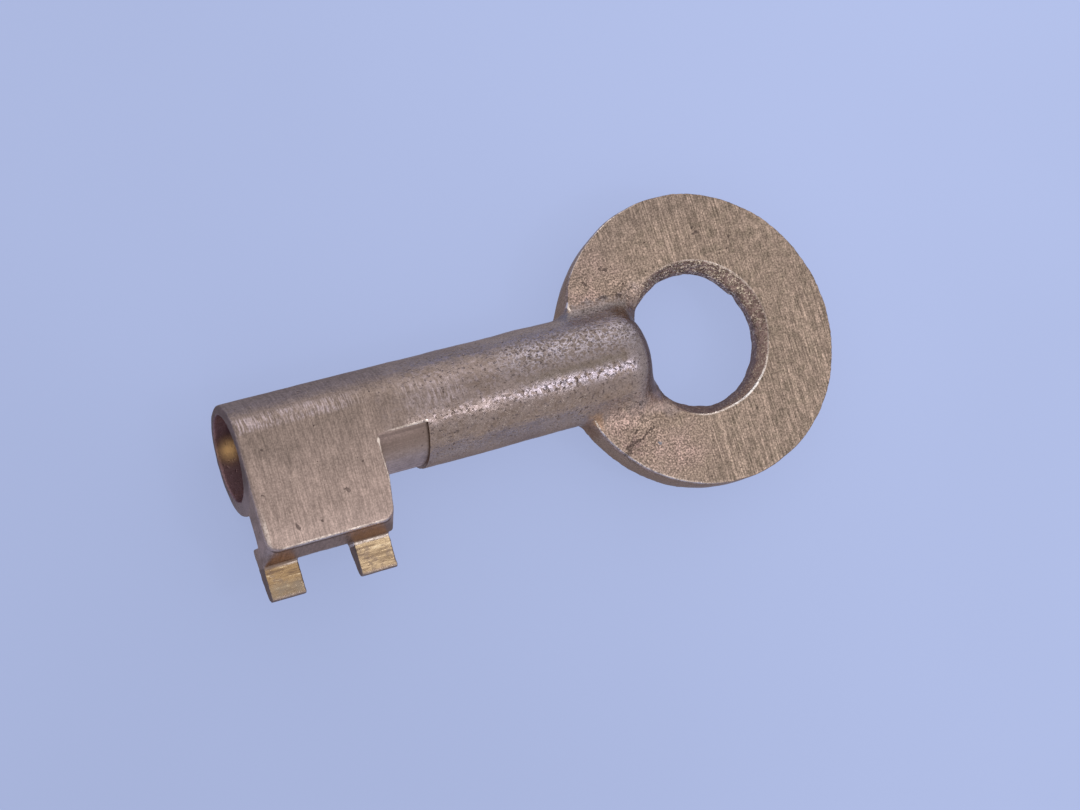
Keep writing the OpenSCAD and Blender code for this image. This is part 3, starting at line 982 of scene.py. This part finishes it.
class Graph:
    # short hand for making nodes
    def __init__(self, material):
        material.use_nodes = True
        self.tree = material.node_tree
        self.tree.nodes.clear()

    def add(self, kind, sockets=(), out=0, **settings):
        # makes a node, fills its inputs and gives back one of its outputs
        made = self.tree.nodes.new(kind)
        for name, value in settings.items():
            setattr(made, name, value)
        for name, value in dict(sockets).items():
            self.fill(made.inputs[name], value)
        return Wire(self, made.outputs[out]) if made.outputs else None

    def fill(self, target, value):
        if isinstance(value, Wire):
            self.tree.links.new(value.socket, target)
        elif isinstance(value, tuple) and len(value) < len(target.default_value):
            target.default_value = (*value, 1)
        else:
            target.default_value = value

    def reckon(self, operation, a, b=0.0, clamp=False):
        return self.add("ShaderNodeMath", {0: a, 1: b}, operation=operation, use_clamp=clamp)

    def most(self, first, *others):
        for other in others:
            first = self.reckon("MAXIMUM", first, other)
        return first

    def away(self, a, b):
        return self.reckon("SQRT", a * a + b * b)

    def fade(self, tone, share):
        # the tone where share is 1, and 1 where share is 0
        return tone * share + (1 - share)

    def mix(self, amount, a, b, blend="MIX"):
        return self.add("ShaderNodeMix", {0: amount, 6: a, 7: b}, 2, data_type="RGBA", blend_type=blend)

    def coat(self, colour, name, share=1.0):
        # lays a named colour over what is there, where the table of places has it
        if name in places:
            share = share * self.inside(name)
        return self.mix(share * strength.get(name, 1.0), colour, brass[name])

    def lay(self, shares):
        return sum(getattr(self.at, name) * share for name, share in shares.items())

    def grey(self, value):
        return self.add("ShaderNodeCombineColor", {0: value, 1: value, 2: value})

    def layer(self, name):
        return self.add("ShaderNodeAttribute", out="Fac", attribute_name=name)

    def place(self, coords, stretch=(1, 1, 1), turn=0.0, shift=(0, 0, 0)):
        turned = (0, 0, math.radians(turn))
        sockets = {"Scale": stretch, "Rotation": turned, "Location": shift, "Vector": coords}
        return self.add("ShaderNodeMapping", sockets)

    def noise(self, coords, scale=1.0, detail=2.0, rough=0.5, **placing):
        if placing:
            coords = self.place(coords, **placing)
        sockets = {"Scale": scale, "Detail": detail, "Roughness": rough, "Vector": coords}
        return self.add("ShaderNodeTexNoise", sockets, "Fac")

    def cells(self, coords, scale, **placing):
        sockets = {"Scale": scale, "Vector": self.place(coords, **placing)}
        return self.add("ShaderNodeTexVoronoi", sockets, "Distance")

    def span(self, value, low, high, toLow=0.0, toHigh=1.0):
        # smooth passage from toLow at low to toHigh at high
        sockets = {"Value": value, "From Min": low, "From Max": high, "To Min": toLow, "To Max": toHigh}
        return self.add("ShaderNodeMapRange", sockets, interpolation_type="SMOOTHSTEP")

    def near(self, value, middle, half):
        # 1 within half of the middle, fading to 0 at twice that
        return self.span(self.reckon("ABSOLUTE", value - middle), 2 * half, half)

    def inside(self, name):
        # how far a point lies in one of the named places
        shares = []
        for axis, *ends in places[name]:
            value = getattr(self.at, axis)
            shares.append(self.near(value, *ends[1:]) if ends[0] == "near" else self.span(value, *ends))
        return math.prod(shares[1:], start=shares[0])


def findPlaces(g):
    # coordinates, stored layers and the kinds of surface that follow from them
    at = g.at = SimpleNamespace()
    coords = g.add("ShaderNodeTexCoord", out="Object")
    at.coords = g.place(coords, stretch=(1 / mm, 1 / mm, 1 / mm), shift=(0, -axisY, -axisZ))
    at.x, at.y, at.z = [g.add("ShaderNodeSeparateXYZ", {0: at.coords}, axis) for axis in "XYZ"]
    for name in bodyLayers:
        setattr(at, name, g.layer(name))
    fromRing = at.x - key["bowX"]
    for name, (alongX, alongY) in bowWays.items():
        setattr(at, name, fromRing * alongX + at.y * alongY)
    at.radius = g.away(at.y, at.z)
    at.bowRadius = g.away(fromRing, at.y)
    at.holeRadius = at.bowRadius + at.edgeLean
    at.offAxis = g.reckon("ABSOLUTE", at.y)
    reach = g.most(at.y * -1.0 - key["barrelR"], 0.0)
    at.alongRear = at.x + reach * spots["rearLean"]

    at.pastNeck = g.inside("pastNeck")
    at.beyondNose = g.inside("pastNose")
    at.holeWall = at.beyondNose * g.inside("holeWall")
    at.bowFace = at.bowFace * g.inside("bowFace")
    at.rim = at.pastNeck * g.inside("rimBand") * (1 - at.bowFace)
    at.relief = g.inside("relief")
    at.toothSide = g.inside("teeth") * (1 - at.filed)
    at.flat = g.reckon("ADD", at.ground, at.bowFace, clamp=True)


def layGrains(g):
    at = g.at
    for name, sizes in grains.items():
        setattr(at, name, g.noise(at.coords, **sizes))
    at.ridge = g.reckon("ABSOLUTE", at.ridge - 0.5)
    at.speckCells = g.cells(at.coords, **speckCells)
    crackX, crackY = spots["crack"]
    at.fromCrack = g.away(at.x - crackX, at.y - crackY)
    chipX, chipY = spots["chip"]
    at.fromChip = g.away((at.x - chipX) * spots["chipNarrow"], at.y - chipY)
    for name, (followed, grain, height) in wavy.items():
        setattr(at, name, getattr(at, followed) + (getattr(at, grain) - 0.5) * height)
    for name, shares in blends.items():
        setattr(at, name, g.lay(shares))
    at.pits = g.inside("pits")
    at.specks = g.inside("specks")


def castTone(g):
    at = g.at
    tone = g.mix(g.inside("castGrain"), brass["cast"], brass["castDark"])
    # painted light: the sides of the round get a lighter colour, lighter still on the upper flank
    flank = g.mix(g.inside("flankTop"), brass["flank"], brass["flankTop"])
    tone = g.mix(at.side * g.inside("flank"), tone, flank)
    tone = g.coat(tone, "castPink")
    # painted shade on the nose's rounded end
    tone = g.coat(tone, "noseDarkReflection", at.nose)
    # painted reflection: a darkened band with lavender mottling, where the round would mirror the bright
    # overhead light
    tone = g.coat(tone, "wormGap", at.worm)
    tone = g.coat(tone, "worm", at.worm)
    # painted shade between the two bright lines
    tone = g.coat(tone, "between", at.between)
    # painted highlight along the lamp's line on the round
    tone = g.coat(tone, "glare", at.glare)
    at.deepPits = g.most(at.glare, at.worm * strength["wormPits"]) * g.inside("deepPits")
    smallPits = at.pits * (1 - at.worm * g.inside("worm")) * strength["smallPits"]
    return g.coat(tone, "dirt", g.most(smallPits, at.deepPits) * strength["pits"])


def groundTone(g, colour):
    topShare = g.inside("groundTop") + g.inside("groundCloud")
    tone = g.mix(topShare, brass["ground"], brass["groundTop"])
    tone = g.coat(tone, "groundLow")
    colour = g.mix(g.at.ground, colour, tone)
    band = g.most(g.inside("bandFront"), g.inside("bandBack") * strength["bandBack"])
    return g.coat(colour, "groundBand", band)


def bowTone(g, colour):
    tone = g.mix(g.inside("bowGrain"), brass["bow"], brass["bowOlive"])
    tone = g.coat(tone, "bowShade")
    colour = g.mix(g.at.bowFace, colour, tone)
    colour = g.coat(colour, "rim", g.at.rim)
    return g.coat(colour, "neck")


def barrelTone(g, colour):
    # the relief, the ring round the mouth and the bit's lower wall
    at = g.at
    relief = g.mix(g.inside("reliefLow"), brass["relief"], brass["reliefLow"])
    colour = g.mix(at.relief, colour, relief)
    mouth = g.mix(g.inside("mouthLow"), brass["mouth"], brass["mouthLow"])
    colour = g.mix(g.inside("mouth") * (1 - at.bore), colour, mouth)
    return g.coat(colour, "bitWall", 1 - at.filed)


def agedTone(g, colour):
    # pinkish patches, the tones of the hollows beside the nose, and painted shade in the hollow above it
    at = g.at
    at.patches = at.patina * g.inside("patches")
    tone = g.mix(g.inside("patinaCloud"), brass["patina"], brass["patinaOlive"])
    tone = g.coat(tone, "patinaDark")
    colour = g.mix(at.patches, colour, tone)
    alongNose = g.inside("alongNose")
    corner = g.mix(g.inside("cornerDeep"), brass["corner"], brass["cornerPale"])
    colour = g.mix(alongNose * g.inside("corner") * strength["corner"], colour, corner)
    colour = g.coat(colour, "lowPink")
    # painted shade in the hollow above the nose
    return g.coat(colour, "fillet", alongNose)


def scratchTone(g):
    # scratches and grain lighten and darken every colour
    at = g.at
    bare = at.flat * g.inside("bare") * (1 - at.relief * 0.85)
    brushed = g.fade(g.inside("brushed"), bare)
    farStreak = g.inside("streaks") * g.fade(0.30, g.inside("farEnd")) * strength["farStreak"]
    streakShare = g.most(farStreak, at.lowRight, g.inside("topBack")) * g.inside("streakBare")
    streak = g.fade(g.inside("streak"), streakShare * at.bowFace)
    bowLines = g.fade(g.inside("bowLines"), at.bowFace * g.inside("bowBare"))
    bowSpots = g.fade(g.inside("bowSpots"), at.bowFace * (1 - at.patina))
    faintStreak = g.fade(g.inside("faintStreak"), at.ground)
    mottle = g.fade(g.inside("mottle"), at.flat)
    coarse = g.fade(g.inside("coarse"), at.patina)
    return brushed * streak * g.inside("speckle") * mottle * faintStreak * coarse * bowLines * bowSpots


def wallTone(g):
    # the rough wall of the hole
    tone = g.mix(g.inside("wallShade"), brass["wall"], brass["wallDark"])
    tone = g.coat(tone, "wallDark")
    return g.coat(tone, "wallGlint")


def dirtTone(g, colour):
    # specks, sunk places, sparks of bare metal, the crack and the blue dent
    at = g.at
    colour = g.coat(colour, "dirt", at.specks * strength["specks"])
    colour = g.coat(colour, "castDark", at.sunk * strength["sunk"])
    sparks = g.inside("sparks") * (1 - at.flat) * (1 - at.pastNeck)
    colour = g.coat(colour, "worn", sparks * strength["sparks"])
    at.stain = g.inside("stain")
    colour = g.coat(colour, "dirt", at.stain * strength["stain"])
    return g.coat(colour, "dentBlue")


def boreTone(g):
    tone = g.mix(g.inside("boreCloud"), brass["bore"], brass["boreDark"])
    # painted light: a golden pool inside the bore, broken up by grain
    g.at.glow = g.at.glow * g.inside("lightPoolGrain")
    return g.coat(tone, "boreGlow", g.at.glow)


def filedTone(g):
    # the teeth's filed tops
    dull = g.most(g.inside("dullLines"), g.at.toothTip * g.inside("dullTip"))
    tone = g.mix(g.inside("frontTooth"), brass["filed"], brass["filedFront"])
    tone = g.coat(tone, "filedDull", dull)
    tone = g.coat(tone, "filedBright")
    tone = g.coat(tone, "toothSide", g.inside("toothStain"))
    tone = g.coat(tone, "toothLow")
    return g.coat(tone, "toothSide", g.inside("tipBand") * strength["tipBand"])


def toothTone(g, colour):
    at = g.at
    side = g.mix(g.inside("toothCloud"), brass["toothSide"], brass["castDark"])
    colour = g.mix(at.toothSide, colour, side)
    colour = g.mix(at.filed, colour, filedTone(g))
    # painted shade under the bit face's edge
    colour = g.coat(colour, "shadeUnderEdge")
    return g.coat(colour, "toothSide", g.inside("overRear") * (1 - at.filed) * strength["overRear"])


def wornAndHighlitEdges(g):
    # edges painted bright: bare metal worn along rubbed edges, and painted highlight lines where edges catch
    # the light
    at = g.at
    drawn = {name: g.inside(name) * gain for name, gain in edgeGain.items()}
    upEdge = drawn.pop("upEdge")
    holeEdge = at.beyondNose * g.inside("holeEdge") * g.most(upEdge, g.inside("lowEdge"))
    rimEdge = at.pastNeck * g.inside("rimEdge")
    worn = at.worn * g.inside("wornLess") * (1 - g.inside("besideReliefEnd")) * strength["wear"]
    edge = g.most(*drawn.values(), holeEdge, rimEdge, worn) * g.inside("broken") * (1 - at.bore)
    return g.most(edge, g.inside("cornerChip"), g.inside("farChips"))


def edgeTone(g, colour):
    at = g.at
    at.edge = wornAndHighlitEdges(g)
    # worn metal and painted highlight lines along the edges
    colour = g.coat(colour, "worn", at.edge)
    at.burr = at.beyondNose * g.inside("burrLine")
    at.burrShare = at.burr * g.inside("burrBeads")
    # painted highlight on the raised lip along the hole's edge
    colour = g.coat(colour, "burr", at.burrShare)
    # painted shade: dark lines along the relief's end step and just below its top edge, in the dark colour of
    # the specks and stains
    ends = g.inside("reliefEnd") * strength["reliefEnd"]
    footShadow = at.relief * g.inside("reliefFootShadow") * strength["reliefFootShadow"]
    return g.coat(colour, "dirt", g.most(ends, footShadow))


def roughnessOf(g):
    at = g.at
    rough = g.inside("castRough") * (1 - at.flat) + at.flat * dullness["flat"] + g.inside("fineRough")
    rough = rough + at.patches * dullness["patches"] + at.holeWall * dullness["wall"]
    rough = rough + g.most(at.edge, at.filed, at.burr) * dullness["worn"]
    return rough + g.most(at.sunk, at.specks) * dullness["dirty"]


def relievedNormal(g):
    # the finest relief is only shaded
    at = g.at
    cast = g.lay(shading["cast"]) * (1 + g.most(at.flat, at.relief) * shading["finished"])
    cast = cast * (1 + g.most(at.glare, at.worm) * shading["nose"])
    rough = g.lay(shading["rough"]) * g.most(at.patina * shading["patina"], at.holeWall)
    lines = at.onGround * at.flat * shading["onGround"] + at.fileLines * at.filed * shading["filed"]
    marked = at.burrShare * shading["burr"] + (at.specks + at.stain) * shading["dirt"]
    sockets = {"Strength": 1.0, "Distance": shading["depth"] * mm, "Height": cast + rough + lines + marked}
    return g.add("ShaderNodeBump", sockets)


def makeBrass(name):
    material = bpy.data.materials.new(name)
    g = Graph(material)
    findPlaces(g)
    layGrains(g)
    at = g.at
    at.lowRight = g.inside("lowRight")
    colour = castTone(g)
    for tone in (groundTone, bowTone, barrelTone, agedTone):
        colour = tone(g, colour)
    colour = g.mix(1.0, colour, g.grey(scratchTone(g)), "MULTIPLY")
    colour = g.mix(at.holeWall, colour, wallTone(g))
    colour = dirtTone(g, colour)
    colour = g.mix(at.bore, colour, boreTone(g))
    colour = edgeTone(g, toothTone(g, colour))
    shader = g.add("ShaderNodeBsdfPrincipled", {
        "Base Color": colour,
        "Specular Tint": brass["grazing"],
        # less metallic where the bore's painted light lies
        "Metallic": 1 - at.bore * (0.6 + at.glow * 0.4),
        "Roughness": roughnessOf(g),
        "Normal": relievedNormal(g),
    })
    g.add("ShaderNodeOutputMaterial", {"Surface": shader})
    return material


brassByPiece = (
    (makeBrass("castBrass"), (barrelPiece, shankPiece, bowPiece)),
    (makeBrass("groundBrass"), (bitPiece,)),
    (makeBrass("filedBrass"), (frontToothPiece, rearToothPiece)),
)
for material, pieces in brassByPiece:
    for piece in pieces:
        piece.data.materials.clear()
        piece.data.materials.append(material)
print("brass laid on")


# Floor, light and camera
studio = {
    "floorZ": -4.39,
    "floorColour": (0.435, 0.51, 0.785),
    "lampDirection": (0.374, -0.379, 0.853),
    "lampDistance": 0.45,
    "lampSize": 0.08,
    "lampPower": 0.118,
    "lampColour": (0.89, 0.91, 1.0),
    "fillDirection": (0.25, 0.80, 0.50),
    "fillDistance": 0.50,
    "fillSize": 0.34,
    "fillPower": 0.14,
    "fillColour": (1.0, 1.0, 1.0),
    "skyZenith": 0.88,
    "skyHorizon": 0.78,
    "skyColour": (0.965, 0.96, 0.985),
    "floorGlow": 0.74,  # share of the floor's colour that no shadow takes away
    "floorClouds": (9.0, 3),  # how many per metre, and their detail
    "floorDim": 0.93,  # the darker clouds
    "floorRise": (-0.03, 0.09, 0.98, 1.10),  # brighter from left to right
    "floorSize": 1.6,  # metres
    "aim": (28, 0, 0),  # middle of the key, where the lamps point, in mm
}


def layFloor():
    bpy.ops.mesh.primitive_grid_add(x_subdivisions=8, y_subdivisions=8, size=studio["floorSize"],
                                    location=(0.03, 0, studio["floorZ"] * mm))
    floor = bpy.context.object
    floor.name = "floor"
    settle(floor)
    material = bpy.data.materials.new("floorPaper")
    g = Graph(material)
    coords = g.add("ShaderNodeTexCoord", out="Object")
    cloud = g.span(g.noise(coords, *studio["floorClouds"]), 0.3, 0.7)
    dim = tuple(tone * studio["floorDim"] for tone in studio["floorColour"])
    colour = g.mix(cloud, studio["floorColour"], dim)
    rise = g.span(g.add("ShaderNodeSeparateXYZ", {0: coords}, "X"), *studio["floorRise"])
    colour = g.mix(1.0, colour, g.grey(rise), "MULTIPLY")
    paper = {"Base Color": colour, "Roughness": 0.7, "Specular IOR Level": 0.2}
    rays = ("Is Camera Ray", "Is Glossy Ray", "Is Transmission Ray")
    seen = g.most(*[g.add("ShaderNodeLightPath", out=ray) for ray in rays])
    shared = g.add("ShaderNodeMixShader", {
        0: seen * studio["floorGlow"],
        1: g.add("ShaderNodeBsdfPrincipled", paper),
        2: g.add("ShaderNodeEmission", {"Color": colour}),
    })
    g.add("ShaderNodeOutputMaterial", {"Surface": shared})
    floor.data.materials.append(material)


def hangLamp(name):
    centre = Vector(studio["aim"]) * mm
    towards = Vector(studio[name + "Direction"]).normalized()
    bpy.ops.object.light_add(type="AREA", location=centre + towards * studio[name + "Distance"])
    lamp = bpy.context.object
    lamp.name = name
    lamp.rotation_euler = towards.to_track_quat("Z", "Y").to_euler()
    lamp.data.shape = "DISK"
    lamp.data.size = studio[name + "Size"]
    lamp.data.energy = studio[name + "Power"]
    lamp.data.color = studio[name + "Colour"]


def lightSky():
    world = bpy.data.worlds.new("sky")
    bpy.context.scene.world = world
    g = Graph(world)
    upward = g.add("ShaderNodeSeparateXYZ", {0: g.add("ShaderNodeTexCoord", out="Generated")}, "Z")
    levels = {"Value": upward, "To Min": studio["skyHorizon"], "To Max": studio["skyZenith"]}
    light = {"Color": studio["skyColour"], "Strength": g.add("ShaderNodeMapRange", levels)}
    g.add("ShaderNodeOutputWorld", {"Surface": g.add("ShaderNodeBackground", light)})


view = {
    "place": (-37.416, -16.114, 161.476),  # mm
    "right": (0.89602, -0.28807, 0.33788),
    "up": (0.23962, 0.95436, 0.17828),
    "back": (-0.37381, -0.07879, 0.92415),
    "lens": 66.67,
}


def placeCamera():
    bpy.ops.object.camera_add()
    camera = bpy.context.object
    turn = Matrix((view["right"], view["up"], view["back"])).transposed().to_4x4()
    camera.matrix_world = Matrix.Translation(Vector(view["place"]) * mm) @ turn
    camera.data.lens = view["lens"]
    camera.data.sensor_width = 36
    camera.data.sensor_fit = "HORIZONTAL"
    camera.data.clip_start = 0.005
    bpy.context.scene.camera = camera


layFloor()
hangLamp("lamp")
hangLamp("fill")
lightSky()
placeCamera()
bpy.context.scene.view_settings.view_transform = "Standard"
print("stage set")
